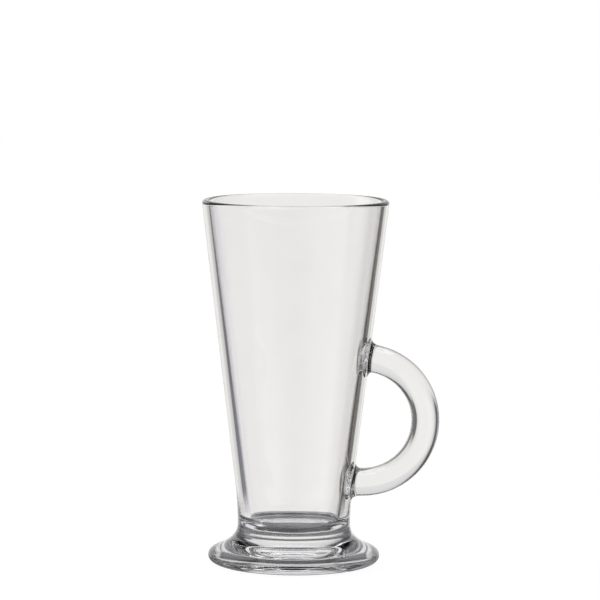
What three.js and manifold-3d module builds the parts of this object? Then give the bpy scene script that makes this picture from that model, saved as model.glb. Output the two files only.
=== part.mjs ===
// A footed latte mug of clear pressed glass: a tall conical bowl, a short solid stem, a flared
// foot, and a round C handle that meets the bowl through two flared pads.
// Millimetres, +Z up. The mug stands on Z = 0 and the origin is the middle of its plan box.
import * as THREE from 'three';
import { mergeVertices } from 'three/addons/utils/BufferGeometryUtils.js';
import Module from 'manifold-3d';

const wasm = await Module();
wasm.setup();

// Driving dimensions of the bowl
const HEIGHT = 150;
const RIM_RADIUS = 38.45;
const RIM_WALL = 3;
const NECK_RADIUS = 23.25;
const NECK_HEIGHT = 7.2;
const BASE_WALL = 5.4;
const FLOOR_THICKNESS = 3;
const FLOOR_FILLET = 7;

// Driving dimensions of the stem and the foot
const STEM_HEIGHT = 3.3;
const FLARE_RISE = 5.1;
const FOOT_HEIGHT = 7.6;
const FOOT_RADIUS = 35.4;
const FOOT_EDGE_RISE = 2.7;
const FOOT_EDGE_INSET = 3.1;
const SHOULDER_INSET = 4.1;
const SHOULDER_DROP = 1.3;
const SHOULDER_LEAN = THREE.MathUtils.degToRad(24);
const RING_WIDTH = 2.3;
const KICK_UP = 4;

// How far the foot's curves hold their direction from the points that they join
const FOOT_EDGE_PULL = 2.1;
const SHOULDER_CROWN_PULL = 2.5;
const SHOULDER_FLARE_PULL = 5.1;
const NECK_PULL = 5;
const KICK_UP_PULL = 14;

// Driving dimensions of the handle
const BOW_RADIUS = 25.85;
const BOW_CENTRE_Z = 59;
const BOW_STANDOFF = 0.55;
const HANDLE_DEPTH = 11.6;
const HANDLE_WIDTH = 10.8;
const PAD_LENGTH = 4;
const PAD_FILLET = 2.6;

// Clearance between glass pieces whose curved faces meet
const FUSE_GAP = 0.3;

// Fineness of the round shapes
const TURN_SEGMENTS = 48;
const ARC_STEPS = 6;
const FLARE_STEPS = 6;
const BOW_STEPS = 32;
const SECTION_SIDES = 20;
const HALVINGS = 40;

// Heights and radii that follow from the driving dimensions
const BOWL_BASE_Z = FOOT_HEIGHT + STEM_HEIGHT;
const FLOOR_Z = BOWL_BASE_Z + FLOOR_THICKNESS;
const NECK_Z = BOWL_BASE_Z + FLARE_RISE;
const NECK_TOP_Z = NECK_Z + NECK_HEIGHT;
const LIP_RADIUS = RIM_WALL / 2;
const LIP_Z = HEIGHT - LIP_RADIUS;
const INNER_RIM_RADIUS = RIM_RADIUS - RIM_WALL;
const INNER_BASE_RADIUS = NECK_RADIUS - BASE_WALL;
const OUTER_SLOPE = (RIM_RADIUS - NECK_RADIUS) / (LIP_Z - NECK_TOP_Z);
const INNER_SLOPE = (INNER_RIM_RADIUS - INNER_BASE_RADIUS) / (LIP_Z - FLOOR_Z);

// Outer radius of the conical wall at a height
function wallRadius(z) {
  return NECK_RADIUS + OUTER_SLOPE * (z - NECK_TOP_Z);
}

// Centre of the handle's bow, just off the wall, and the mug's reach on that side
const BOW_CENTRE_X = wallRadius(BOW_CENTRE_Z) + BOW_STANDOFF;
const HANDLE_REACH = BOW_CENTRE_X + BOW_RADIUS + HANDLE_DEPTH / 2;
const BOWL_AXIS_X = (Math.max(RIM_RADIUS, FOOT_RADIUS) - HANDLE_REACH) / 2;

// Each piece has its own clear glass
function clearGlass() {
  return new THREE.MeshStandardMaterial({
    color: 0xe9e8e6,
    roughness: 0.04,
    metalness: 0,
    transparent: true,
    opacity: 0.35,
  });
}

function piece(name, geometry) {
  const mesh = new THREE.Mesh(geometry, clearGlass());
  mesh.name = name;
  return mesh;
}

// A profile of radius and height turned about +Z
function turned(profile) {
  return new THREE.LatheGeometry(profile, TURN_SEGMENTS).rotateX(Math.PI / 2);
}

// The flare is one curve from the foot's shoulder to the neck, so the pieces on it share an outline
const SHOULDER = new THREE.Vector2(FOOT_RADIUS - SHOULDER_INSET, FOOT_HEIGHT - SHOULDER_DROP);
const UP_THE_FLARE = new THREE.Vector2(-Math.cos(SHOULDER_LEAN), Math.sin(SHOULDER_LEAN));
const flare = new THREE.CubicBezierCurve(
  SHOULDER,
  SHOULDER.clone().addScaledVector(UP_THE_FLARE, SHOULDER_FLARE_PULL),
  new THREE.Vector2(NECK_RADIUS, NECK_Z - NECK_PULL),
  new THREE.Vector2(NECK_RADIUS, NECK_Z),
);

// The flare climbs all the way, so halving finds where it reaches a height
function flareShare(z) {
  let low = 0;
  let high = 1;
  for (let halving = 0; halving < HALVINGS; halving += 1) {
    const middle = (low + high) / 2;
    if (flare.getPoint(middle).y < z) {
      low = middle;
    } else {
      high = middle;
    }
  }
  return (low + high) / 2;
}

function flareOutline(zLow, zHigh) {
  const shares = [flareShare(zLow), flareShare(zHigh)];
  const points = [];
  for (let step = 0; step <= FLARE_STEPS; step += 1) {
    points.push(flare.getPoint(THREE.MathUtils.lerp(...shares, step / FLARE_STEPS)));
  }
  points[0].y = zLow;
  points[FLARE_STEPS].y = zHigh;
  return points;
}

// The bowl's outside from the neck to the start of its lip: the cone runs softly into the neck
function outerWall() {
  const wall = new THREE.Path();
  wall.moveTo(NECK_RADIUS, NECK_Z);
  const blendEnd = NECK_TOP_Z + NECK_HEIGHT;
  wall.quadraticCurveTo(NECK_RADIUS, NECK_TOP_Z, wallRadius(blendEnd), blendEnd);
  wall.lineTo(RIM_RADIUS, LIP_Z);
  return wall;
}

// Bowl: solid floor, thick conical wall, rounded lip and a wide fillet inside the bottom
function makeBowl() {
  const lean = Math.atan(INNER_SLOPE);
  const filletZ = FLOOR_Z + FLOOR_FILLET;
  const filletX = INNER_BASE_RADIUS + INNER_SLOPE * FLOOR_FILLET - FLOOR_FILLET / Math.cos(lean);
  const wall = outerWall();
  wall.absarc(RIM_RADIUS - LIP_RADIUS, LIP_Z, LIP_RADIUS, 0, Math.PI, false);
  wall.absarc(filletX, filletZ, FLOOR_FILLET, -lean, -Math.PI / 2, true);
  wall.lineTo(0, FLOOR_Z);
  const profile = [
    new THREE.Vector2(0, BOWL_BASE_Z),
    ...flareOutline(BOWL_BASE_Z, NECK_Z),
    ...wall.getPoints(ARC_STEPS).slice(1),
  ];
  return piece('bowl', turned(profile));
}

// Stem: the solid waist of glass between the bowl's floor and the foot
function makeStem() {
  const profile = [
    new THREE.Vector2(0, FOOT_HEIGHT),
    ...flareOutline(FOOT_HEIGHT, BOWL_BASE_Z),
    new THREE.Vector2(0, BOWL_BASE_Z),
  ];
  return piece('stem', turned(profile));
}

// Foot: a round-edged disc on a flat ring, with a dome pressed up into its underside
function makeFoot() {
  const ringOuter = FOOT_RADIUS - FOOT_EDGE_INSET;
  const ringInner = ringOuter - RING_WIDTH;
  const edge = new THREE.Path();
  edge.moveTo(0, KICK_UP);
  edge.bezierCurveTo(KICK_UP_PULL, KICK_UP, ringInner - KICK_UP, KICK_UP, ringInner, 0);
  edge.lineTo(ringOuter, 0);
  edge.absellipse(ringOuter, FOOT_EDGE_RISE, FOOT_EDGE_INSET, FOOT_EDGE_RISE, -Math.PI / 2, 0, false);
  const crown = SHOULDER.clone().addScaledVector(UP_THE_FLARE, -SHOULDER_CROWN_PULL);
  edge.bezierCurveTo(
    FOOT_RADIUS,
    FOOT_EDGE_RISE + FOOT_EDGE_PULL,
    crown.x,
    crown.y,
    SHOULDER.x,
    SHOULDER.y,
  );
  const profile = [
    ...edge.getPoints(ARC_STEPS),
    ...flareOutline(SHOULDER.y, FOOT_HEIGHT).slice(1),
    new THREE.Vector2(0, FOOT_HEIGHT),
  ];
  return piece('foot', turned(profile));
}

// The bow meets the wall where its circle crosses the wall's line, once above and once below
const WALL_LEAN = Math.atan(OUTER_SLOPE);
const HALF_SWEEP = Math.acos((-BOW_STANDOFF * Math.cos(WALL_LEAN)) / BOW_RADIUS);
const UPPER_ANGLE = HALF_SWEEP - WALL_LEAN;
const LOWER_ANGLE = -HALF_SWEEP - WALL_LEAN;
const PAD_ANGLE = PAD_LENGTH / BOW_RADIUS;
const GAP_ANGLE = FUSE_GAP / BOW_RADIUS;

function bowPoint(angle) {
  return new THREE.Vector3(
    BOW_CENTRE_X + BOW_RADIUS * Math.cos(angle),
    0,
    BOW_CENTRE_Z + BOW_RADIUS * Math.sin(angle),
  );
}

// The handle's centre line between the two pads
class BowCurve extends THREE.Curve {
  getPoint(share) {
    const start = UPPER_ANGLE - PAD_ANGLE - GAP_ANGLE;
    const end = LOWER_ANGLE + PAD_ANGLE + GAP_ANGLE;
    return bowPoint(THREE.MathUtils.lerp(start, end, share));
  }
}

// Handle: an oval rod of glass swept along the bow
function makeHandle() {
  const section = new THREE.Shape();
  section.absellipse(0, 0, HANDLE_WIDTH / 2, HANDLE_DEPTH / 2, 0, 2 * Math.PI, false);
  const rod = new THREE.ExtrudeGeometry(section, {
    steps: BOW_STEPS,
    curveSegments: SECTION_SIDES / 2,
    extrudePath: new BowCurve(),
  });
  return piece('handle', rod);
}

function toSolid(geometry) {
  const shell = geometry.clone();
  shell.deleteAttribute('normal');
  shell.deleteAttribute('uv');
  const merged = mergeVertices(shell);
  const mesh = new wasm.Mesh({
    numProp: 3,
    vertProperties: new Float32Array(merged.attributes.position.array),
    triVerts: new Uint32Array(merged.index.array),
  });
  return new wasm.Manifold(mesh);
}

function toGeometry(solid) {
  const mesh = solid.getMesh();
  const geometry = new THREE.BufferGeometry();
  geometry.setAttribute('position', new THREE.BufferAttribute(mesh.vertProperties, 3));
  geometry.setIndex(new THREE.BufferAttribute(mesh.triVerts, 1));
  geometry.computeVertexNormals();
  return geometry;
}

// The bowl's outer form with its clearance, which cuts the pads to the wall
function wallCutter() {
  const outline = outerWall().getPoints(ARC_STEPS);
  const profile = [
    new THREE.Vector2(0, NECK_Z),
    ...outline.map((point) => new THREE.Vector2(point.x + FUSE_GAP, point.y)),
    new THREE.Vector2(0, LIP_Z),
  ];
  return toSolid(turned(profile));
}

// The wall falls away to both sides of the handle, and a pad follows it, more and more towards the wall
function bendRoundWall(blank, wallCurve) {
  const points = blank.attributes.position;
  for (let index = 0; index < points.count; index += 1) {
    const along = points.getY(index);
    const across = points.getZ(index);
    const fall = wallCurve - Math.sqrt(wallCurve ** 2 - across ** 2);
    points.setY(index, along + fall * Math.min(along / PAD_LENGTH, 1));
  }
}

// Pad: the end of the handle, which flares out in a round fillet against the bowl.
// It is turned about the bow's tangent, pressed to the handle's oval, bent round the wall and cut by it.
function makePad(name, wallAngle, side) {
  const depth = HANDLE_DEPTH / 2;
  const filletStart = PAD_LENGTH - PAD_FILLET;
  const buried = PAD_LENGTH + HANDLE_DEPTH;
  const trumpet = new THREE.Path();
  trumpet.moveTo(0, 0);
  trumpet.lineTo(depth, 0);
  trumpet.absarc(depth + PAD_FILLET, filletStart, PAD_FILLET, Math.PI, Math.PI / 2, true);
  trumpet.lineTo(depth + PAD_FILLET, buried);
  trumpet.lineTo(0, buried);
  const blank = new THREE.LatheGeometry(trumpet.getPoints(ARC_STEPS), SECTION_SIDES);
  blank.scale(1, 1, HANDLE_WIDTH / HANDLE_DEPTH);
  bendRoundWall(blank, bowPoint(wallAngle).x);
  const startAngle = wallAngle - side * PAD_ANGLE;
  const inwards = new THREE.Vector3(-Math.sin(startAngle), 0, Math.cos(startAngle)).multiplyScalar(side);
  const across = new THREE.Vector3(0, 1, 0);
  const downwards = new THREE.Vector3().crossVectors(inwards, across);
  const place = new THREE.Matrix4().makeBasis(downwards, inwards, across);
  place.setPosition(bowPoint(startAngle));
  blank.applyMatrix4(place);
  return piece(name, toGeometry(toSolid(blank).subtract(wallCutter())));
}

const mug = new THREE.Group();
mug.add(makeFoot());
mug.add(makeStem());
mug.add(makeBowl());
mug.add(makeHandle());
mug.add(makePad('upper_handle_pad', UPPER_ANGLE, 1));
mug.add(makePad('lower_handle_pad', LOWER_ANGLE, -1));
mug.position.x = BOWL_AXIS_X;

export default mug;
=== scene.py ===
"""The looks of a footed latte mug of clear pressed glass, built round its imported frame.

Metres, +Z up. The mug stands on Z = 0 and its handle reaches out towards +X. The six pieces are one
fused body of glass, so the faces where two pieces meet have a seam finish that light crosses unbent.
"""

import logging
import math
from dataclasses import dataclass
from enum import Enum, IntEnum
from typing import Callable, Sequence

import bmesh
import bpy
from mathutils import Matrix, Vector


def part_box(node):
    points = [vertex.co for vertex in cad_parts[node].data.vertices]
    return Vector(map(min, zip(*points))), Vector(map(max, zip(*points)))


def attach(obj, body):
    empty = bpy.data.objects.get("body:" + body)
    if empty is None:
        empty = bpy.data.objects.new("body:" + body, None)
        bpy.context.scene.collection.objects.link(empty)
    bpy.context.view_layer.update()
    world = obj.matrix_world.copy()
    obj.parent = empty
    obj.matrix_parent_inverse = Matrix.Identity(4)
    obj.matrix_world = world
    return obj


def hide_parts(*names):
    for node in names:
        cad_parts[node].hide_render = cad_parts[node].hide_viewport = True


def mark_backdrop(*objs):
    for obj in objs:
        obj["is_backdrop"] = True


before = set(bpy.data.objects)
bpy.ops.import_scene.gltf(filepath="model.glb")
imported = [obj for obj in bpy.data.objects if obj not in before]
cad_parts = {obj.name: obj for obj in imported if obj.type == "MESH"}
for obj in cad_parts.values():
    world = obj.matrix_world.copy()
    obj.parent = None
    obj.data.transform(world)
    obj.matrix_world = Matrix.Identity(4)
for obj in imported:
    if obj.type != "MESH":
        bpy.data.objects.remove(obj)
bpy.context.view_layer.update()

LOG = logging.getLogger("mug")
BODY = "root"

TURN_SEGMENTS = 240
CURVE_STEPS = 24
WALL_STEPS = 96
POLE_RADIUS = 1e-7
HALVINGS = 48
GLASS_BOUNCES = 24
SEAM_BOUNCES = 64
RIPPLE_DETAIL = 1.0
HAZE_DETAIL = 3.0
HAZE_START = 0.45
HAZE_FULL = 0.75

FLOAT = "NodeSocketFloat"
VECTOR = "NodeSocketVector"
COLOUR = "NodeSocketColor"
INTEGER = "NodeSocketInt"
GEOMETRY = "NodeSocketGeometry"

Point = tuple[float, float]
Colour = tuple[float, float, float]
Stops = tuple[tuple[float, Colour], ...]
Mesh = bmesh.types.BMesh
Ring = list[bmesh.types.BMVert]
Tree = bpy.types.NodeTree
Socket = bpy.types.NodeSocket


class Face(IntEnum):
    """What a face of a glass piece is: open glass, or a seam where it is fused to its neighbour."""

    GLASS = 0
    SEAM = 1


class Joint(Enum):
    """The two ends of the handle, with the way that the bow turns towards the wall there."""

    UPPER = 1
    LOWER = -1


def grey(tone: float) -> Colour:
    """A neutral colour of one tone."""
    return tone, tone, tone


def blend(start: float, end: float, share: float) -> float:
    """The value at a share of the way from start to end."""
    return start + (end - start) * share


def gathered(step: int, steps: int) -> float:
    """A share from 0 to 1 whose steps gather at both ends, so that curves meet in one tangent."""
    return (1 - math.cos(math.pi * step / steps)) / 2


def halved(low: float, high: float, falls_short: Callable[[float], bool]) -> float:
    """Finds by halving where a test stops holding.

    Args:
        low: A value that passes the test.
        high: A value that fails it.
        falls_short: The test.

    Returns:
        The value between them where the test stops holding.
    """
    for _ in range(HALVINGS):
        middle = (low + high) / 2
        if falls_short(middle):
            low = middle
        else:
            high = middle
    return (low + high) / 2


def on_bezier(controls: Sequence[Point], share: float) -> Point:
    """The point at a share of a Bezier curve, by blending its control points in turn.

    Args:
        controls: The curve's control points.
        share: The share from 0 to 1.

    Returns:
        The point.
    """
    while len(controls) > 1:
        pairs = zip(controls, controls[1:])
        controls = [(blend(a[0], b[0], share), blend(a[1], b[1], share)) for a, b in pairs]
    return controls[0]


class Outline:
    """The half section of a turned piece: points of radius and height, and the kind of face between them."""

    def __init__(self, radius: float, height: float) -> None:
        """Starts the outline at a point."""
        self.points: list[Point] = [(radius, height)]
        self.faces: list[Face] = []

    def run(self, curve: Callable[[float], Point], steps: int, face: Face) -> "Outline":
        """Adds the points of a curve.

        Args:
            curve: Gives a point for a share of the curve from 0 to 1.
            steps: How many points to add.
            face: The kind of face along the curve.

        Returns:
            The outline itself, so that stretches can be chained.
        """
        for step in range(1, steps + 1):
            self.points.append(curve(gathered(step, steps)))
            self.faces.append(face)
        return self

    def line(self, end: Point, steps: int = 1, face: Face = Face.GLASS) -> "Outline":
        """Adds a straight stretch to a point."""
        start = self.points[-1]
        return self.run(lambda t: (blend(start[0], end[0], t), blend(start[1], end[1], t)), steps, face)

    def arc(self, centre: Point, radii: Point, start: float, end: float, steps: int) -> "Outline":
        """Adds an oval arc about a centre, from one angle to another in radians.

        Args:
            centre: The arc's centre.
            radii: Its radii, level and upright.
            start: Its first angle.
            end: Its last angle.
            steps: How many points to add.

        Returns:
            The outline itself.
        """

        def at(share: float) -> Point:
            """The arc's point at a share of its sweep."""
            angle = blend(start, end, share)
            return centre[0] + radii[0] * math.cos(angle), centre[1] + radii[1] * math.sin(angle)

        return self.run(at, steps, Face.GLASS)

    def bezier(self, *controls: Point, steps: int) -> "Outline":
        """Adds a Bezier curve from the last point through its control points to the last of them."""
        points = [self.points[-1], *controls]
        return self.run(lambda share: on_bezier(points, share), steps, Face.GLASS)


@dataclass(frozen=True)
class BodySizes:
    """Sizes of the turned glass: the outer ones follow the frame, the walls and curves are set here."""

    axis_x: float
    height: float
    rim_radius: float
    bowl_base_z: float
    foot_height: float
    foot_radius: float
    rim_wall: float = 0.003
    neck_radius: float = 0.02325
    neck_height: float = 0.0072
    base_wall: float = 0.0054
    floor_thickness: float = 0.003
    floor_fillet: float = 0.007
    flare_rise: float = 0.0051
    flare_pull: float = 0.0051
    neck_pull: float = 0.005
    shoulder_inset: float = 0.0041
    shoulder_drop: float = 0.0013
    shoulder_lean: float = math.radians(24)
    crown_pull: float = 0.0025
    edge_rise: float = 0.0027
    edge_inset: float = 0.0031
    edge_pull: float = 0.0021
    ring_width: float = 0.0023
    ring_round: float = 0.0006
    kick_up: float = 0.004
    kick_up_pull: float = 0.014

    @classmethod
    def from_frame(cls) -> "BodySizes":
        """Reads the outer sizes from the frame's bowl and foot.

        Returns:
            The sizes.
        """
        bowl_low, bowl_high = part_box("bowl")
        foot_low, foot_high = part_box("foot")
        return cls(
            axis_x=(bowl_low.x + bowl_high.x) / 2,
            height=bowl_high.z,
            rim_radius=(bowl_high.y - bowl_low.y) / 2,
            bowl_base_z=bowl_low.z,
            foot_height=foot_high.z,
            foot_radius=(foot_high.y - foot_low.y) / 2,
        )

    @property
    def floor_z(self) -> float:
        """Height of the bowl's inside floor."""
        return self.bowl_base_z + self.floor_thickness

    @property
    def neck_z(self) -> float:
        """Height where the flare ends in the straight neck."""
        return self.bowl_base_z + self.flare_rise

    @property
    def neck_top_z(self) -> float:
        """Height where the cone's line would meet the neck's."""
        return self.neck_z + self.neck_height

    @property
    def cone_z(self) -> float:
        """Height where the wall's soft bend out of the neck has become the cone."""
        return self.neck_top_z + self.neck_height

    @property
    def lip_z(self) -> float:
        """Height of the lip's centre."""
        return self.height - self.rim_wall / 2

    @property
    def outer_slope(self) -> float:
        """How much the outer wall widens for each metre of height."""
        return (self.rim_radius - self.neck_radius) / (self.lip_z - self.neck_top_z)

    def wall_radius(self, z: float) -> float:
        """Outer radius of the bowl's wall at a height, from the neck to the lip.

        Args:
            z: The height.

        Returns:
            The radius.
        """
        if z >= self.cone_z:
            return self.neck_radius + self.outer_slope * (z - self.neck_top_z)
        rise = max(z - self.neck_z, 0.0) / (self.cone_z - self.neck_z)
        return self.neck_radius + self.outer_slope * self.neck_height * rise**2

    def flare(self) -> list[Point]:
        """Control points of the one curve from the foot's shoulder to the neck."""
        shoulder = self.foot_radius - self.shoulder_inset, self.foot_height - self.shoulder_drop
        return [
            shoulder,
            self.along_flare(self.flare_pull),
            (self.neck_radius, self.neck_z - self.neck_pull),
            (self.neck_radius, self.neck_z),
        ]

    def along_flare(self, distance: float) -> Point:
        """The point that far up the shoulder's tangent, or down it where the distance is negative."""
        return (
            self.foot_radius - self.shoulder_inset - distance * math.cos(self.shoulder_lean),
            self.foot_height - self.shoulder_drop + distance * math.sin(self.shoulder_lean),
        )


def flare_stretch(sizes: BodySizes, low_z: float, high_z: float) -> Callable[[float], Point]:
    """The part of the flare between two heights.

    Args:
        sizes: The turned glass's sizes.
        low_z: Height where the part starts.
        high_z: Height where it ends.

    Returns:
        A function that gives a point for a share of the part.
    """
    controls = sizes.flare()
    ends = [halved(0.0, 1.0, lambda share: on_bezier(controls, share)[1] < z) for z in (low_z, high_z)]
    return lambda share: on_bezier(controls, blend(*ends, share))


class Turned:
    """A mesh turned from an outline about the mug's axis."""

    def __init__(self, outline: Outline, axis_x: float) -> None:
        """Makes the rings of points, with a single point at each pole.

        Args:
            outline: The half section to turn.
            axis_x: Where the axis stands.
        """
        self.mesh = bmesh.new()
        self.outline = outline
        self.axis_x = axis_x
        self.rings: list[Ring] = [self.ring(radius, z) for radius, z in outline.points]

    def ring(self, radius: float, z: float) -> Ring:
        """One ring of points, counter-clockwise from +X.

        Args:
            radius: The ring's radius.
            z: Its height.

        Returns:
            The ring, or the single point of a pole.
        """
        if radius < POLE_RADIUS:
            return [self.mesh.verts.new((self.axis_x, 0, z))]
        turns = (2 * math.pi * step / TURN_SEGMENTS for step in range(TURN_SEGMENTS))
        return [
            self.mesh.verts.new((self.axis_x + radius * math.cos(turn), radius * math.sin(turn), z))
            for turn in turns
        ]

    def skin(self, open_cells: frozenset[tuple[int, int]] = frozenset()) -> None:
        """Spans faces between the rings.

        Args:
            open_cells: Row and step of each face that is left out.
        """
        rows = zip(self.rings, self.rings[1:], self.outline.faces)
        for row, (low, high, kind) in enumerate(rows):
            for step in range(TURN_SEGMENTS):
                if (row, step) in open_cells:
                    continue
                following = (step + 1) % TURN_SEGMENTS
                if len(low) == 1:
                    corners = [low[0], high[following], high[step]]
                elif len(high) == 1:
                    corners = [low[step], low[following], high[0]]
                else:
                    corners = [low[step], low[following], high[following], high[step]]
                self.mesh.faces.new(corners).material_index = kind


def face_outwards(mesh: Mesh) -> None:
    """Turns a closed mesh's faces to one side, and that side outwards.

    Args:
        mesh: The closed mesh.
    """
    bmesh.ops.recalc_face_normals(mesh, faces=mesh.faces)
    if mesh.calc_volume(signed=True) < 0:
        bmesh.ops.reverse_faces(mesh, faces=mesh.faces)


def span(mesh: Mesh, outer: Ring, inner: Ring, kind: Face) -> None:
    """Spans faces between two closed rings that run the same way.

    Args:
        mesh: The mesh that holds them.
        outer: The first ring.
        inner: The second ring.
        kind: The kind of face.
    """
    for step, vert in enumerate(outer):
        following = (step + 1) % len(outer)
        corners = vert, outer[following], inner[following], inner[step]
        mesh.faces.new(corners).material_index = kind


def close(mesh: Mesh, ring: Ring, middle: Vector) -> None:
    """Closes a ring with a fan of seam faces round a middle point.

    Args:
        mesh: The mesh that holds it.
        ring: The ring.
        middle: Where the fan meets.
    """
    hub = mesh.verts.new(middle)
    for vert, following in zip(ring, ring[1:] + ring[:1]):
        mesh.faces.new((vert, following, hub)).material_index = Face.SEAM


def place_object(name: str, data: bpy.types.ID) -> bpy.types.Object:
    """A new object of some data, linked to the scene.

    Args:
        name: The object's name.
        data: Its data.

    Returns:
        The new object.
    """
    placed = bpy.data.objects.new(name, data)
    bpy.context.scene.collection.objects.link(placed)
    return placed


class Piece:
    """A piece of glass that stands for one node of the frame."""

    node: str

    def mesh(self) -> Mesh:
        """The piece's closed mesh, whose faces are numbered by Face."""
        raise NotImplementedError

    def build(self, finishes: Sequence[bpy.types.Material]) -> bpy.types.Object:
        """Makes an object of the mesh, smooth but for its seams' rims, and puts it in the frame.

        Args:
            finishes: The piece's materials, in the order of Face.

        Returns:
            The new object.
        """
        node, mesh = self.node, self.mesh()
        for face in mesh.faces:
            face.smooth = True
        for edge in mesh.edges:
            edge.smooth = len({face.material_index for face in edge.link_faces}) == 1
        name = f"glass_{node}"
        data = bpy.data.meshes.new(name)
        mesh.to_mesh(data)
        mesh.free()
        for finish in finishes:
            data.materials.append(finish)
        piece = place_object(name, data)
        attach(piece, BODY)
        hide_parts(node)
        LOG.info("%s: %d faces, for %s", name, len(data.polygons), node)
        return piece


class TurnedPiece(Piece):
    """A piece of glass that is turned about the mug's axis."""

    def __init__(self, sizes: BodySizes) -> None:
        """Keeps the turned glass's sizes."""
        self.sizes = sizes

    def outline(self) -> Outline:
        """The piece's half section."""
        raise NotImplementedError

    def mesh(self) -> Mesh:
        """Turns the piece whole from its outline.

        Returns:
            The piece's mesh.
        """
        turned = Turned(self.outline(), self.sizes.axis_x)
        turned.skin()
        return turned.mesh


@dataclass(frozen=True)
class HandleSizes:
    """Sizes of the handle: a round bow of oval glass whose ends flare against the bowl's wall."""

    bow_radius: float = 0.02585
    centre_z: float = 0.059
    standoff: float = 0.00055
    depth: float = 0.0116
    width: float = 0.0108
    pad_length: float = 0.004
    pad_fillet: float = 0.0026


class Bow:
    """Where the handle's centre line and its two ends lie beside the bowl's wall."""

    def __init__(self, body: BodySizes, sizes: HandleSizes) -> None:
        """Finds the bow's centre and the angles where it meets the wall.

        Args:
            body: The turned glass's sizes.
            sizes: The handle's sizes.
        """
        self.body = body
        self.sizes = sizes
        reach = body.wall_radius(sizes.centre_z) + sizes.standoff
        self.centre = Vector((body.axis_x + reach, 0, sizes.centre_z))
        lean = math.atan(body.outer_slope)
        half_sweep = math.acos(-sizes.standoff * math.cos(lean) / sizes.bow_radius)
        self.wall_angles = {Joint.UPPER: half_sweep - lean, Joint.LOWER: -half_sweep - lean}

    def end_angle(self, joint: Joint) -> float:
        """The angle where the rod ends and its pad begins."""
        return self.wall_angles[joint] - joint.value * self.sizes.pad_length / self.sizes.bow_radius

    def point(self, angle: float) -> Vector:
        """A point of the centre line."""
        return self.centre + self.sizes.bow_radius * Vector((math.cos(angle), 0, math.sin(angle)))


class Footprint:
    """The oval patch where a pad is fused to the wall, seen along the pad's own straight axis."""

    PATCH_ROWS = 6

    def __init__(self, bow: Bow, joint: Joint) -> None:
        """Sets the pad's axis at the rod's end, with its directions up and across it.

        Args:
            bow: The handle's bow.
            joint: Which end of it the pad is at.
        """
        self.body = bow.body
        self.sizes = bow.sizes
        angle = bow.end_angle(joint)
        self.start = bow.point(angle)
        self.inwards = joint.value * Vector((-math.sin(angle), 0, math.cos(angle)))
        self.across = Vector((0, 1, 0))
        self.upwards = self.across.cross(self.inwards)
        self.half_depth = self.sizes.depth / 2 + self.sizes.pad_fillet
        self.half_width = self.sizes.width / 2 + self.sizes.pad_fillet

    def gap(self, point: Vector) -> float:
        """How far a point is outside the wall, measured level."""
        return math.hypot(point.x - self.body.axis_x, point.y) - self.body.wall_radius(point.z)

    def landing(self, up: float, across: float) -> float:
        """How far along the pad's axis a point that far off it reaches the wall."""
        base = self.place(up, across, 0)
        return halved(0.0, self.sizes.depth, lambda along: self.gap(base + self.inwards * along) > 0)

    def place(self, up: float, across: float, along: float) -> Vector:
        """The point at distances up from, across and along the pad's axis."""
        return self.start + self.upwards * up + self.across * across + self.inwards * along

    def on_wall(self, up: float, across: float) -> Vector:
        """The wall's point that far off the pad's axis."""
        return self.place(up, across, self.landing(up, across))

    def offsets(self, point: Vector) -> Point:
        """How far a point lies off the pad's axis, up and across."""
        away = point - self.start
        return away.dot(self.upwards), away.dot(self.across)

    def turn_of(self, point: Vector) -> float:
        """The angle round the oval at which a point lies."""
        up, across = self.offsets(point)
        return math.atan2(across / self.half_width, up / self.half_depth)

    def edge(self, turn: float, share: float = 1.0) -> Point:
        """Offsets of the oval's edge at an angle, or of a smaller oval inside it."""
        return share * self.half_depth * math.cos(turn), share * self.half_width * math.sin(turn)

    def patch_rings(self, mesh: Mesh, turns: Sequence[float]) -> list[Ring]:
        """Adds the seam patch's rings of points on the wall, from its edge inwards.

        Args:
            mesh: The mesh to add the points to.
            turns: The angles round the oval.

        Returns:
            The new rings.
        """
        rings = []
        for row in range(self.PATCH_ROWS - 1, 0, -1):
            offsets = [self.edge(turn, row / self.PATCH_ROWS) for turn in turns]
            rings.append([mesh.verts.new(self.on_wall(*offset)) for offset in offsets])
        return rings


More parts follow.
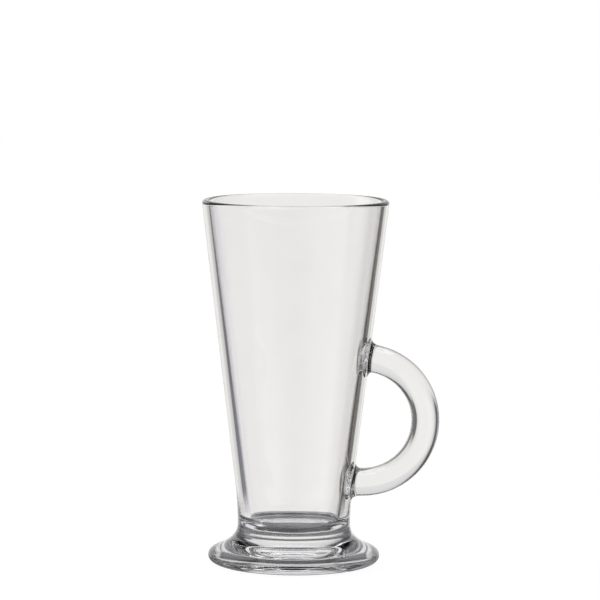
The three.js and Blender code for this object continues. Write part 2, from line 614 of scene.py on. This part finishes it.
class Bowl(TurnedPiece):
    """The conical vessel with its solid floor, rounded lip and the two patches that carry the handle."""

    node = "bowl"
    WINDOW_MARGIN = 0.0012
    COLLAR_ROWS = 6

    def __init__(self, sizes: BodySizes, footprints: dict[Joint, Footprint]) -> None:
        """Keeps the sizes and the handle's footprints on the wall.

        Args:
            sizes: The turned glass's sizes.
            footprints: The handle's footprints.
        """
        super().__init__(sizes)
        self.footprints = footprints
        self.turns: dict[Joint, list[float]] = {}

    def outline(self) -> Outline:
        """The bowl's half section, from its seam with the stem round to the middle of its floor.

        Returns:
            The outline.
        """
        s = self.sizes
        base_edge = flare_stretch(s, s.bowl_base_z, s.neck_z)
        inner_base = s.neck_radius - s.base_wall
        inner_slope = (s.rim_radius - s.rim_wall - inner_base) / (s.lip_z - s.floor_z)
        lean = math.atan(inner_slope)
        fillet_z = s.floor_z + s.floor_fillet
        fillet_r = inner_base + inner_slope * s.floor_fillet - s.floor_fillet / math.cos(lean)
        lip = s.rim_wall / 2
        corner = fillet_r + s.floor_fillet * math.cos(lean), fillet_z - s.floor_fillet * math.sin(lean)
        outline = Outline(0, s.bowl_base_z)
        outline.line(base_edge(0), CURVE_STEPS // 2, Face.SEAM)
        outline.run(base_edge, CURVE_STEPS, Face.GLASS)
        outline.run(self.wall_bend, CURVE_STEPS, Face.GLASS)
        outline.line((s.rim_radius, s.lip_z), WALL_STEPS)
        outline.arc((s.rim_radius - lip, s.lip_z), (lip, lip), 0, math.pi, CURVE_STEPS)
        outline.line(corner, WALL_STEPS)
        fillet = s.floor_fillet, s.floor_fillet
        outline.arc((fillet_r, fillet_z), fillet, -lean, -math.pi / 2, CURVE_STEPS)
        return outline.line((0, s.floor_z), CURVE_STEPS // 2)

    def wall_bend(self, share: float) -> Point:
        """The wall's soft bend from the neck into the cone."""
        z = blend(self.sizes.neck_z, self.sizes.cone_z, share)
        return self.sizes.wall_radius(z), z

    def window(self, turned: Turned, footprint: Footprint) -> tuple[range, range]:
        """The rows and steps of the wall's grid that clear a footprint all round.

        Args:
            turned: The turned bowl.
            footprint: The patch on the wall.

        Returns:
            The window's rows, and its steps either side of +X.
        """
        ends = [footprint.on_wall(side * footprint.half_depth, 0).z for side in (-1, 1)]
        low_z, high_z = min(ends) - self.WINDOW_MARGIN, max(ends) + self.WINDOW_MARGIN
        wall_end = turned.outline.points.index((self.sizes.rim_radius, self.sizes.lip_z))
        heights = [z for _, z in turned.outline.points[:wall_end]]
        first = max(row for row, z in enumerate(heights) if z < low_z)
        last = min(row for row, z in enumerate(heights) if z > high_z)
        reach = math.asin((footprint.half_width + self.WINDOW_MARGIN) / self.sizes.wall_radius(low_z))
        steps = math.ceil(reach * TURN_SEGMENTS / (2 * math.pi))
        return range(first, last), range(-steps, steps)

    def fill_window(self, turned: Turned, joint: Joint, rows: range, steps: range) -> None:
        """Fills a window with a collar of glass faces round the oval seam patch.

        Args:
            turned: The turned bowl, with the window left open.
            joint: Which end of the handle the window carries.
            rows: The window's rows.
            steps: The window's steps.
        """
        footprint = self.footprints[joint]
        low, high = turned.rings[rows.start], turned.rings[rows.stop]
        rim = [low[step] for step in steps]
        rim += [turned.rings[row][steps.stop] for row in rows]
        rim += [high[step] for step in range(steps.stop, steps.start, -1)]
        rim += [turned.rings[row][steps.start] for row in range(rows.stop, rows.start, -1)]
        self.turns[joint] = [footprint.turn_of(vert.co) for vert in rim]
        outer = rim
        for row in range(self.COLLAR_ROWS - 1, -1, -1):
            share = row / self.COLLAR_ROWS
            inner = [self.collar_vert(turned, footprint, vert, share) for vert in rim]
            span(turned.mesh, outer, inner, Face.GLASS)
            outer = inner
        for inner in footprint.patch_rings(turned.mesh, self.turns[joint]):
            span(turned.mesh, outer, inner, Face.SEAM)
            outer = inner
        close(turned.mesh, outer, footprint.on_wall(0, 0))

    @staticmethod
    def collar_vert(turned: Turned, footprint: Footprint, vert: bmesh.types.BMVert, share: float
                    ) -> bmesh.types.BMVert:
        """A new point on the wall, at a share of the way from the oval's edge to the window's rim.

        Args:
            turned: The turned bowl.
            footprint: The patch on the wall.
            vert: The rim's point.
            share: The share of the way.

        Returns:
            The new point.
        """
        edge = footprint.edge(footprint.turn_of(vert.co))
        rim = footprint.offsets(vert.co)
        offset = blend(edge[0], rim[0], share), blend(edge[1], rim[1], share)
        return turned.mesh.verts.new(footprint.on_wall(*offset))

    def mesh(self) -> Mesh:
        """Turns the bowl, opens its wall for the handle's patches and fills them.

        Returns:
            The piece's mesh.
        """
        turned = Turned(self.outline(), self.sizes.axis_x)
        windows = {joint: self.window(turned, footprint) for joint, footprint in self.footprints.items()}
        open_cells = frozenset(
            (row, step % TURN_SEGMENTS) for rows, steps in windows.values() for row in rows for step in steps
        )
        turned.skin(open_cells)
        for joint, (rows, steps) in windows.items():
            self.fill_window(turned, joint, rows, steps)
        return turned.mesh


class Stem(TurnedPiece):
    """The short solid waist of glass between the bowl and the foot."""

    node = "stem"

    def outline(self) -> Outline:
        """The stem's half section, with a seam above and below.

        Returns:
            The outline.
        """
        s = self.sizes
        flare = flare_stretch(s, s.foot_height, s.bowl_base_z)
        outline = Outline(0, s.foot_height)
        outline.line(flare(0), CURVE_STEPS // 2, Face.SEAM)
        outline.run(flare, CURVE_STEPS, Face.GLASS)
        return outline.line((0, s.bowl_base_z), CURVE_STEPS // 2, Face.SEAM)


class Foot(TurnedPiece):
    """The flared disc with its rounded edge, flat standing ring and the dome pressed into its underside."""

    node = "foot"

    @property
    def ring_radii(self) -> Point:
        """Inner and outer radius of the flat standing ring."""
        outer = self.sizes.foot_radius - self.sizes.edge_inset
        return outer - self.sizes.ring_width, outer

    def outline(self) -> Outline:
        """The foot's half section, with a seam on its top.

        Returns:
            The outline.
        """
        s = self.sizes
        inner, outer = self.ring_radii
        crease = inner - s.ring_round, s.ring_round
        outline = Outline(0, s.kick_up)
        dome = (s.kick_up_pull, s.kick_up), (inner - s.kick_up, s.kick_up), crease
        outline.bezier(*dome, steps=2 * CURVE_STEPS)
        outline.bezier((inner, 0), (inner + s.ring_round, 0), steps=CURVE_STEPS // 2)
        outline.line((outer, 0), CURVE_STEPS // 2)
        outline.arc((outer, s.edge_rise), (s.edge_inset, s.edge_rise), -math.pi / 2, 0, CURVE_STEPS)
        crown = s.along_flare(-s.crown_pull)
        outline.bezier((s.foot_radius, s.edge_rise + s.edge_pull), crown, s.flare()[0], steps=CURVE_STEPS)
        outline.run(flare_stretch(s, s.flare()[0][1], s.foot_height), CURVE_STEPS, Face.GLASS)
        return outline.line((0, s.foot_height), CURVE_STEPS // 2, Face.SEAM)


class HandlePad(Piece):
    """The end of the handle that flares out in a round fillet against the bowl's wall."""

    ROWS = 40

    def __init__(self, node: str, footprint: Footprint, turns: Sequence[float]) -> None:
        """Keeps the patch that the pad is fused to.

        Args:
            node: The frame's node that the pad stands for.
            footprint: The patch on the wall.
            turns: The angles round the oval at which the bowl's patch has its points.
        """
        self.node = node
        self.footprint = footprint
        self.turns = turns

    def fillet(self, along: float) -> float:
        """How far the pad stands out from the rod at a distance along its axis.

        Args:
            along: The distance.

        Returns:
            How far it stands out.
        """
        sizes = self.footprint.sizes
        into = max(along - (sizes.pad_length - sizes.pad_fillet), 0.0)
        return sizes.pad_fillet - math.sqrt(max(sizes.pad_fillet**2 - into**2, 0.0))

    def row(self, mesh: Mesh, share: float) -> Ring:
        """A ring of points round the pad, bent more and more after the wall.

        Args:
            mesh: The mesh to add the points to.
            share: How far the ring is on its way from the rod to the wall.

        Returns:
            The new ring.
        """
        foot = self.footprint
        sizes = foot.sizes
        along = share * sizes.pad_length
        swell = self.fillet(along)
        ring = []
        for turn in self.turns:
            fall = foot.landing(*foot.edge(turn)) - sizes.pad_length
            up = (sizes.depth / 2 + swell) * math.cos(turn)
            across = (sizes.width / 2 + swell) * math.sin(turn)
            ring.append(mesh.verts.new(foot.place(up, across, along + fall * share)))
        return ring

    def mesh(self) -> Mesh:
        """Makes the pad between its seam with the rod and its seam with the wall.

        Returns:
            The piece's mesh.
        """
        mesh = bmesh.new()
        rings = [self.row(mesh, gathered(step, self.ROWS)) for step in range(self.ROWS + 1)]
        patch = self.footprint.patch_rings(mesh, self.turns)
        kinds = [Face.GLASS] * self.ROWS + [Face.SEAM] * len(patch)
        rings += patch
        for ring, following, kind in zip(rings, rings[1:], kinds):
            span(mesh, ring, following, kind)
        close(mesh, rings[0], self.footprint.start)
        close(mesh, rings[-1], self.footprint.on_wall(0, 0))
        face_outwards(mesh)
        return mesh


class Board:
    """Adds and joins the nodes of one node tree."""

    MIX_SHARE, MIX_FIRST, MIX_SECOND, MIX_RESULT = 0, 6, 7, 2
    ANY_PLACE = 0.5

    def __init__(self, tree: Tree) -> None:
        """Keeps the tree."""
        self.tree = tree

    def add(self, kind: str, inputs: dict | None = None, **settings: object) -> bpy.types.Node:
        """Adds a node.

        Args:
            kind: The node's type.
            inputs: Values or sockets for its inputs, by name or index.
            settings: The node's own properties.

        Returns:
            The new node.
        """
        node = self.tree.nodes.new(kind)
        for name, value in settings.items():
            setattr(node, name, value)
        for name, value in (inputs or {}).items():
            if isinstance(value, Socket):
                self.tree.links.new(value, node.inputs[name])
            else:
                node.inputs[name].default_value = value
        return node

    def math(self, operation: str, *values: object) -> Socket:
        """The result of a Math node on numbers or sockets."""
        return self.add("ShaderNodeMath", dict(enumerate(values)), operation=operation).outputs[0]

    def ramp(self, value: Socket, stops: Stops) -> Socket:
        """A colour that follows a value through stops in rising order.

        Args:
            value: The value to follow.
            stops: Places and their colours.

        Returns:
            The colour.
        """
        low, high = stops[0][0], stops[-1][0]
        share = self.add("ShaderNodeMapRange", {"Value": value, "From Min": low, "From Max": high})
        node = self.add("ShaderNodeValToRGB", {"Fac": share.outputs[0]})
        elements = node.color_ramp.elements
        while len(elements) < len(stops):
            elements.new(self.ANY_PLACE)
        for element, (place, _) in zip(elements, stops):
            element.position = (place - low) / (high - low)
        for element, (_, colour) in zip(elements, stops):
            element.color = (*colour, 1)
        return node.outputs["Color"]

    def mix(self, share: object, first: object, second: object, way: str = "MIX") -> Socket:
        """A colour mixed from two by a share."""
        inputs = {self.MIX_SHARE: share, self.MIX_FIRST: first, self.MIX_SECOND: second}
        return self.add("ShaderNodeMix", inputs, data_type="RGBA", blend_type=way).outputs[self.MIX_RESULT]


def new_tree(name: str, kind: str, inputs: dict[str, str], outputs: dict[str, str]) -> Tree:
    """Makes an empty node group with named sockets.

    Args:
        name: The group's name.
        kind: The type of its node tree.
        inputs: Type of each input.
        outputs: Type of each output.

    Returns:
        The new group.
    """
    tree = bpy.data.node_groups.new(name, kind)
    for way, sockets in (("INPUT", inputs), ("OUTPUT", outputs)):
        for socket, socket_type in sockets.items():
            tree.interface.new_socket(socket, in_out=way, socket_type=socket_type)
    return tree


class Handle(Piece):
    """The oval rod of glass that follows the bow, made by geometry nodes."""

    node = "handle"
    PATH_STEPS = 160
    SECTION_SIDES = 96
    QUAD_CORNERS = 4
    HALF_UNIT = 0.5

    def __init__(self, bow: Bow) -> None:
        """Keeps the bow that the rod follows."""
        self.bow = bow

    def tree(self) -> Tree:
        """The node tree of an oval rod along an arc, closed at its two ends.

        Returns:
            The tree.
        """
        inputs = {
            **dict.fromkeys(("Bow Radius", "Start Angle", "Sweep Angle"), FLOAT),
            **dict.fromkeys(("Section Depth", "Section Width"), FLOAT),
            **dict.fromkeys(("Path Points", "Section Sides"), INTEGER),
            "Centre": VECTOR,
        }
        tree = new_tree("Bow Rod", "GeometryNodeTree", inputs, {"Rod": GEOMETRY})
        board = Board(tree)
        sizes = board.add("NodeGroupInput").outputs
        arc = board.add("GeometryNodeCurveArc", {
            "Resolution": sizes["Path Points"],
            "Radius": sizes["Bow Radius"],
            "Start Angle": sizes["Start Angle"],
            "Sweep Angle": sizes["Sweep Angle"],
        })
        sides = {"Resolution": sizes["Section Sides"], "Radius": self.HALF_UNIT}
        circle = board.add("GeometryNodeCurvePrimitiveCircle", sides).outputs["Curve"]
        spread = {"X": sizes["Section Depth"], "Y": sizes["Section Width"], "Z": 1.0}
        scale = board.add("ShaderNodeCombineXYZ", spread).outputs[0]
        oval = board.add("GeometryNodeTransform", {"Geometry": circle, "Scale": scale})
        rod = board.add("GeometryNodeCurveToMesh", {
            "Curve": arc.outputs["Curve"],
            "Profile Curve": oval.outputs["Geometry"],
            "Fill Caps": True,
        })
        upright = board.add("GeometryNodeTransform", {
            "Geometry": rod.outputs["Mesh"],
            "Translation": sizes["Centre"],
            "Rotation": (math.pi / 2, 0, 0),
        })
        whole = board.add("GeometryNodeRealizeInstances", {"Geometry": upright.outputs["Geometry"]})
        board.add("NodeGroupOutput", {"Rod": whole.outputs["Geometry"]})
        return tree

    def mesh(self) -> Mesh:
        """Runs the tree on an empty carrier and keeps its result, with a seam at each end.

        Returns:
            The piece's mesh.
        """
        start = self.bow.end_angle(Joint.LOWER)
        values = {
            "Bow Radius": self.bow.sizes.bow_radius,
            "Start Angle": start,
            "Sweep Angle": self.bow.end_angle(Joint.UPPER) - start,
            "Section Depth": self.bow.sizes.depth,
            "Section Width": self.bow.sizes.width,
            "Centre": tuple(self.bow.centre),
            "Path Points": self.PATH_STEPS + 1,
            "Section Sides": self.SECTION_SIDES,
        }
        carrier = place_object("bow_carrier", bpy.data.meshes.new("bow_carrier"))
        modifier = carrier.modifiers.new("Bow Rod", "NODES")
        modifier.node_group = self.tree()
        for socket in modifier.node_group.interface.items_tree:
            if socket.in_out == "INPUT":
                modifier[socket.identifier] = values[socket.name]
        rod = bpy.data.meshes.new_from_object(carrier.evaluated_get(bpy.context.evaluated_depsgraph_get()))
        bpy.data.objects.remove(carrier)
        mesh = bmesh.new()
        mesh.from_mesh(rod)
        bpy.data.meshes.remove(rod)
        for face in mesh.faces:
            face.material_index = Face.SEAM if len(face.verts) > self.QUAD_CORNERS else Face.GLASS
        face_outwards(mesh)
        return mesh


def ripple_group() -> Tree:
    """The slow waves that a press leaves in glass, as a height in metres.

    Returns:
        The group.
    """
    waves = dict.fromkeys(("Wave Scale", "Wave Height", "Fine Scale", "Fine Height"), FLOAT)
    inputs = {"Position": VECTOR, **waves}
    group = new_tree("Pressed Ripple", "ShaderNodeTree", inputs, {"Height": FLOAT})
    board = Board(group)
    sizes = board.add("NodeGroupInput").outputs
    heights = []
    for kind in ("Wave", "Fine"):
        noise = board.add("ShaderNodeTexNoise", {
            "Vector": sizes["Position"],
            "Scale": sizes[f"{kind} Scale"],
            "Detail": RIPPLE_DETAIL,
        })
        heights.append(board.math("MULTIPLY", noise.outputs[0], sizes[f"{kind} Height"]))
    board.add("NodeGroupOutput", {"Height": board.math("ADD", *heights)})
    return group


def haze_group() -> Tree:
    """The faint film and rub marks of washing and handling, as a roughness and a tint.

    Returns:
        The group.
    """
    tints = dict.fromkeys(("Clear Tint", "Hazy Tint"), COLOUR)
    inputs = {"Position": VECTOR, "Scale": FLOAT, "Hazy Roughness": FLOAT, **tints}
    group = new_tree("Washed Haze", "ShaderNodeTree", inputs, {"Roughness": FLOAT, "Tint": COLOUR})
    board = Board(group)
    sizes = board.add("NodeGroupInput").outputs
    noise = board.add("ShaderNodeTexNoise", {
        "Vector": sizes["Position"],
        "Scale": sizes["Scale"],
        "Detail": HAZE_DETAIL,
    })
    cloud = board.add("ShaderNodeMapRange", {
        "Value": noise.outputs[0],
        "From Min": HAZE_START,
        "From Max": HAZE_FULL,
    })
    rough = board.math("MULTIPLY", cloud.outputs[0], sizes["Hazy Roughness"])
    tint = board.mix(cloud.outputs[0], sizes["Clear Tint"], sizes["Hazy Tint"])
    board.add("NodeGroupOutput", {"Roughness": rough, "Tint": tint})
    return group


@dataclass(frozen=True)
class GlassFinish:
    """Clear soda-lime glass as one piece shows it."""

    name: str
    wave_scale: float = 60.0
    wave_height: float = 4e-6
    fine_scale: float = 420.0
    fine_height: float = 2e-7
    haze_scale: float = 90.0
    haze: float = 0.015
    clear_tint: Colour = (1.0, 1.0, 1.0)
    hazy_tint: Colour = (0.985, 0.985, 0.98)
    ior: float = 1.5

    def material(self, ripples: Tree, film: Tree) -> bpy.types.Material:
        """Builds the material with its ripples and haze.

        Args:
            ripples: The group of the press's ripples.
            film: The group of the haze.

        Returns:
            The material.
        """
        material = bpy.data.materials.new(self.name)
        material.use_nodes = True
        board = Board(material.node_tree)
        place = board.add("ShaderNodeTexCoord").outputs["Object"]
        ripple = board.add("ShaderNodeGroup", {
            "Position": place,
            "Wave Scale": self.wave_scale,
            "Wave Height": self.wave_height,
            "Fine Scale": self.fine_scale,
            "Fine Height": self.fine_height,
        }, node_tree=ripples)
        haze = board.add("ShaderNodeGroup", {
            "Position": place,
            "Scale": self.haze_scale,
            "Hazy Roughness": self.haze,
            "Clear Tint": (*self.clear_tint, 1),
            "Hazy Tint": (*self.hazy_tint, 1),
        }, node_tree=film)
        height = self.height(board, place, ripple.outputs["Height"])
        bump = board.add("ShaderNodeBump", {"Strength": 1.0, "Distance": 1.0, "Height": height})
        shader = material.node_tree.nodes["Principled BSDF"].inputs
        for name, source in (("Normal", bump), ("Roughness", haze)):
            material.node_tree.links.new(source.outputs[name], shader[name])
        material.node_tree.links.new(haze.outputs["Tint"], shader["Base Color"])
        shader["IOR"].default_value = self.ior
        shader["Transmission Weight"].default_value = 1.0
        return material

    def height(self, board: Board, place: Socket, ripple: Socket) -> Socket:
        """The height that bumps the surface: the press's ripples alone."""
        return ripple


@dataclass(frozen=True)
class StippledFootFinish(GlassFinish):
    """The foot's glass, whose standing ring is stippled underneath."""

    stipple_scale: float = 1300.0
    stipple_height: float = 6e-5
    stipple_top: float = 0.0002

    def height(self, board: Board, place: Socket, ripple: Socket) -> Socket:
        """The ripples, with the standing ring's stipple added where the glass meets the table.

        Args:
            board: The material's nodes.
            place: A point of the surface.
            ripple: The ripples' height.

        Returns:
            The height.
        """
        z = board.add("ShaderNodeSeparateXYZ", {0: place}).outputs["Z"]
        low = board.math("LESS_THAN", z, self.stipple_top)
        dots = board.add("ShaderNodeTexVoronoi", {"Vector": place, "Scale": self.stipple_scale})
        grain = board.math("MULTIPLY", dots.outputs["Distance"], self.stipple_height)
        return board.math("ADD", ripple, board.math("MULTIPLY", grain, low))


def seam_material() -> bpy.types.Material:
    """The finish of a face inside fused glass: light crosses it as if it weren't there.

    Returns:
        The material.
    """
    material = bpy.data.materials.new("fused_seam")
    material.use_nodes = True
    material.node_tree.nodes["Principled BSDF"].inputs["Alpha"].default_value = 0.0
    return material


@dataclass(frozen=True)
class Studio:
    """A white studio with dark flags, whose edges the glass draws as its dark lines.

    Stops are pairs of a place and a colour. Those of the sweeps and the walls are degrees clockwise
    from +Y, those of the ceiling and the rises are degrees above the horizon, and those of the painted
    shadow beneath the foot, as the glass sees the floor, are metres from the mug's axis.
    """

    sweep: Stops = (
        (-180, grey(0.25)), (-165, grey(0.25)), (-140, grey(0.4)), (-120, grey(0.6)),
        (-92, (0.77, 0.77, 0.785)), (-86, (0.89, 0.885, 0.9)), (-70, (0.89, 0.885, 0.905)),
        (-63, (0.75, 0.74, 0.97)), (-58.5, (0.65, 0.64, 1.0)), (-56.5, (0.12, 0.12, 0.14)),
        (-37.0, (0.13, 0.125, 0.14)), (-34.5, (0.6, 0.59, 0.57)), (-29.5, (0.68, 0.67, 0.65)),
        (-26, (0.79, 0.78, 0.76)), (-20, (0.88, 0.87, 0.86)), (-14, (0.93, 0.92, 0.9)),
        (13, (0.93, 0.92, 0.9)), (20, (0.88, 0.87, 0.85)), (24.8, (0.8, 0.79, 0.77)),
        (27.8, (0.7, 0.68, 0.66)), (30.3, (0.1, 0.092, 0.085)), (56, (0.09, 0.08, 0.075)),
        (102, (0.05, 0.046, 0.043)), (105, grey(0.3)), (110, grey(0.82)), (118, grey(0.9)),
        (150, grey(0.86)), (165, grey(0.5)), (180, grey(0.25)),
    )
    low_sweep: Stops = (
        (-180, grey(0.5)), (-140, grey(0.68)), (-90, (0.86, 0.86, 0.88)), (-45, (0.86, 0.85, 0.84)),
        (-14, (0.93, 0.92, 0.9)), (13, (0.93, 0.92, 0.9)), (40, (0.7, 0.69, 0.67)),
        (50, (0.12, 0.11, 0.1)), (100, (0.1, 0.09, 0.08)), (110, grey(0.8)), (150, grey(0.75)),
        (180, grey(0.5)),
    )
    sweep_share: float = 0.97
    low_rise: Stops = ((-90, grey(1.0)), (-24, grey(1.0)), (-16, grey(0.0)), (90, grey(0.0)))
    walls: Stops = (
        (-180, (0.072, 0.072, 0.08)), (-120, (0.1, 0.1, 0.108)), (-95, (0.12, 0.12, 0.132)),
        (-88, (1.3, 1.29, 1.35)), (-66, (1.3, 1.29, 1.35)), (-62, grey(0.08)), (-40, grey(0.072)),
        (-33, grey(0.4)), (-26, grey(0.7)), (-10, grey(0.75)), (8, grey(0.79)), (20, grey(0.77)),
        (30, grey(0.7)), (35, grey(0.55)), (41, grey(0.048)), (60, grey(0.024)), (100, grey(0.02)),
        (110, grey(0.08)), (150, grey(0.112)), (180, (0.072, 0.072, 0.08)),
    )
    wall_rise: Stops = ((-90, grey(0.0)), (2, grey(0.0)), (8, grey(1.0)), (90, grey(1.0)))
    ceiling_rise: Stops = ((-90, grey(0.0)), (47, grey(0.0)), (51, grey(1.0)), (90, grey(1.0)))
    ceiling: Stops = (
        (-90, (0.032, 0.032, 0.04)), (60, (0.032, 0.032, 0.04)), (61.5, (2.2, 2.2, 2.25)),
        (68, (2.2, 2.2, 2.25)), (69.5, (0.032, 0.032, 0.04)), (90, (0.032, 0.032, 0.04)),
    )
    # Painted shadow: within this reach of the axis the floor shows the glass a dark glow in place of the
    # mug's own shade.
    painted_shadow_reach: Stops = ((0.0, grey(1.0)), (0.040, grey(1.0)), (0.046, grey(0.0)), (0.4, grey(0.0)))
    # Tones of the painted shadow: darker beneath the dome, lighter beneath the standing ring.
    ground: Stops = (
        (0.0, (0.08, 0.08, 0.0864)), (0.022, (0.08, 0.08, 0.0864)), (0.028, (0.16, 0.16, 0.1728)),
        (0.046, (0.16, 0.16, 0.1728)),
    )
    floor_size: float = 3.0
    floor_glow: float = 0.935
    floor_albedo: float = 0.2
    floor_drop: float = 0.00002

    def hang_world(self) -> None:
        """Makes the world: white to the camera, and the studio's sweep, walls and ceiling to the glass."""
        world = bpy.data.worlds.new("studio")
        world.use_nodes = True
        world.node_tree.nodes.clear()
        bpy.context.scene.world = world
        board = Board(world.node_tree)
        direction = board.add("ShaderNodeTexCoord").outputs["Generated"]
        parts = board.add("ShaderNodeSeparateXYZ", {0: direction}).outputs
        turn = board.math("MULTIPLY", board.math("ARCTAN2", parts["X"], parts["Y"]), math.degrees(1))
        rise = board.math("MULTIPLY", board.math("ARCSINE", parts["Z"]), math.degrees(1))
        sweep, low_sweep = board.ramp(turn, self.sweep), board.ramp(turn, self.low_sweep)
        around = board.mix(board.ramp(rise, self.low_rise), sweep, low_sweep)
        horizon = board.mix(1.0, around, (*grey(self.sweep_share), 1), "MULTIPLY")
        sides = board.mix(board.ramp(rise, self.wall_rise), horizon, board.ramp(turn, self.walls))
        colour = board.mix(board.ramp(rise, self.ceiling_rise), sides, board.ramp(rise, self.ceiling))
        room = board.add("ShaderNodeBackground", {"Color": colour}).outputs[0]
        white = board.add("ShaderNodeBackground", {"Color": (1, 1, 1, 1)}).outputs[0]
        seen = board.add("ShaderNodeLightPath").outputs["Is Camera Ray"]
        surface = board.add("ShaderNodeMixShader", {0: seen, 1: room, 2: white}).outputs[0]
        board.add("ShaderNodeOutputWorld", {"Surface": surface})

    def lay_floor(self, axis_x: float) -> bpy.types.Object:
        """Lays the pale floor, which keeps the mug's real shadow for the camera and shows the glass a
        painted shadow beneath the foot.

        Args:
            axis_x: Where the mug's axis stands.

        Returns:
            The floor.
        """
        reach = self.floor_size
        data = bpy.data.meshes.new("floor")
        corners = [(-reach, -reach), (reach, -reach), (reach, reach), (-reach, reach)]
        data.from_pydata([(x, y, -self.floor_drop) for x, y in corners], [], [(0, 1, 2, 3)])
        floor = place_object("floor", data)
        material = bpy.data.materials.new("pale_floor_with_painted_shadow")
        material.use_nodes = True
        material.node_tree.nodes.clear()
        data.materials.append(material)
        board = Board(material.node_tree)
        white = board.add("ShaderNodeEmission", {"Color": (1, 1, 1, 1), "Strength": self.floor_glow})
        shade = board.add("ShaderNodeBsdfDiffuse", {"Color": (*grey(self.floor_albedo), 1)})
        pale = board.add("ShaderNodeAddShader", {0: white.outputs[0], 1: shade.outputs[0]})
        seen = board.add("ShaderNodeLightPath").outputs["Is Camera Ray"]
        # Camera rays see the pale floor. Glass sees the painted shadow beneath the foot.
        glass_view_with_painted_shadow = self.ground_look(board, axis_x)
        mixed = board.add("ShaderNodeMixShader", {0: seen, 1: glass_view_with_painted_shadow, 2: pale.outputs[0]})
        board.add("ShaderNodeOutputMaterial", {"Surface": mixed.outputs[0]})
        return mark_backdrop(floor)

    def ground_look(self, board: Board, axis_x: float) -> Socket:
        """The floor as the glass sees it: a painted shadow of two dark glowing rings beneath the foot, and
        the open room beyond them.

        Args:
            board: The floor's nodes.
            axis_x: Where the mug's axis stands.

        Returns:
            The floor's shader.
        """
        place = board.add("ShaderNodeTexCoord").outputs["Object"]
        reach = board.add("ShaderNodeVectorMath", {0: place, 1: (axis_x, 0, 0)}, operation="DISTANCE")
        distance = reach.outputs["Value"]
        # Painted shadow: two dark rings of glow stand in for the mug's shade on the floor beneath its foot.
        rings = board.add("ShaderNodeEmission", {"Color": board.ramp(distance, self.ground)}).outputs[0]
        clear = board.add("ShaderNodeBsdfTransparent").outputs[0]
        # Where the painted shadow covers the floor. Beyond it, the floor lets the glass see the room.
        painted_shadow_mask = board.ramp(distance, self.painted_shadow_reach)
        return board.add("ShaderNodeMixShader", {0: painted_shadow_mask, 1: clear, 2: rings}).outputs[0]


@dataclass(frozen=True)
class Camera:
    """The photograph's viewpoint, level with the mug's axis."""

    distance: float = 1.3
    height: float = 0.2473
    lens: float = 190.8
    sensor: float = 36.0
    pitch: float = math.radians(6.09)
    roll: float = math.radians(0.34)
    shift_x: float = 0.008

    def place(self, axis_x: float) -> None:
        """Sets up the camera in front of the mug.

        Args:
            axis_x: Where the mug's axis stands.
        """
        data = bpy.data.cameras.new("view")
        data.lens = self.lens
        data.sensor_width = self.sensor
        data.shift_x = self.shift_x
        camera = place_object("view", data)
        camera.location = axis_x, -self.distance, self.height
        tilt = Matrix.Rotation(math.pi / 2 - self.pitch, 3, "X") @ Matrix.Rotation(self.roll, 3, "Z")
        camera.rotation_euler = tilt.to_euler()
        bpy.context.scene.camera = camera


def set_up_light_paths() -> None:
    """Lets light cross as many faces as a thick glass foot needs, and shows colours as written."""
    bpy.context.scene.view_settings.view_transform = "Standard"
    paths = bpy.context.scene.cycles
    paths.max_bounces = paths.transmission_bounces = paths.glossy_bounces = GLASS_BOUNCES
    paths.transparent_max_bounces = SEAM_BOUNCES


def main() -> None:
    """Builds the mug's pieces, then the studio and the camera."""
    logging.basicConfig(level=logging.INFO, format="%(message)s")
    set_up_light_paths()
    body = BodySizes.from_frame()
    bow = Bow(body, HandleSizes())
    footprints = {joint: Footprint(bow, joint) for joint in Joint}
    groups = ripple_group(), haze_group()
    seam = seam_material()
    clear = [GlassFinish("pressed_glass").material(*groups), seam]
    stippled = [StippledFootFinish("stippled_foot_glass").material(*groups), seam]
    bowl = Bowl(body, footprints)
    bowl.build(clear)
    Stem(body).build(clear)
    Foot(body).build(stippled)
    Handle(bow).build(clear)
    for joint, node in ((Joint.UPPER, "upper_handle_pad"), (Joint.LOWER, "lower_handle_pad")):
        HandlePad(node, footprints[joint], bowl.turns[joint]).build(clear)
    studio = Studio()
    studio.hang_world()
    studio.lay_floor(body.axis_x)
    Camera().place(body.axis_x)


if __name__ == "__main__":
    main()
